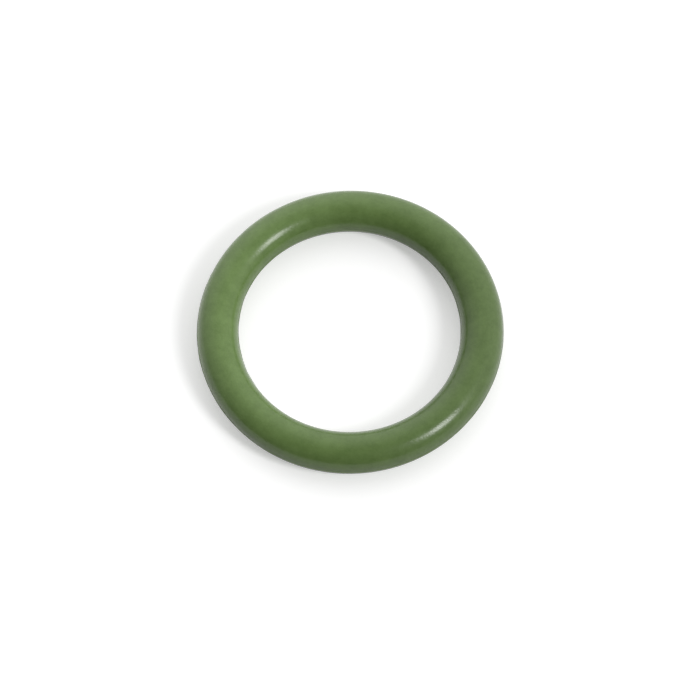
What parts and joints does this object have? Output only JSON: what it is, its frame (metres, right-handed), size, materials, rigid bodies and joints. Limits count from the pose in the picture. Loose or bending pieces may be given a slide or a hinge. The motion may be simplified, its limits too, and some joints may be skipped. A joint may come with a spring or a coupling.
{
  "type": "o-ring",
  "caption": "Round rubber sealing ring with a circular section, squeezed in a groove to seal a pipe joint, valve or heating fitting.",
  "frame": {"origin": "centre of the ring, on its axis and in the parting plane of its mould", "axes": "+Z along the ring's axis, upwards as the ring lies flat; X and Y in the ring's plane"},
  "size_m": [0.011, 0.011, 0.0014],
  "materials": {
    "green_rubber": "satin moulded olive-green rubber"
  },
  "bodies": {
    "root": {"o_ring": "green_rubber"}
  },
  "joints": []
}
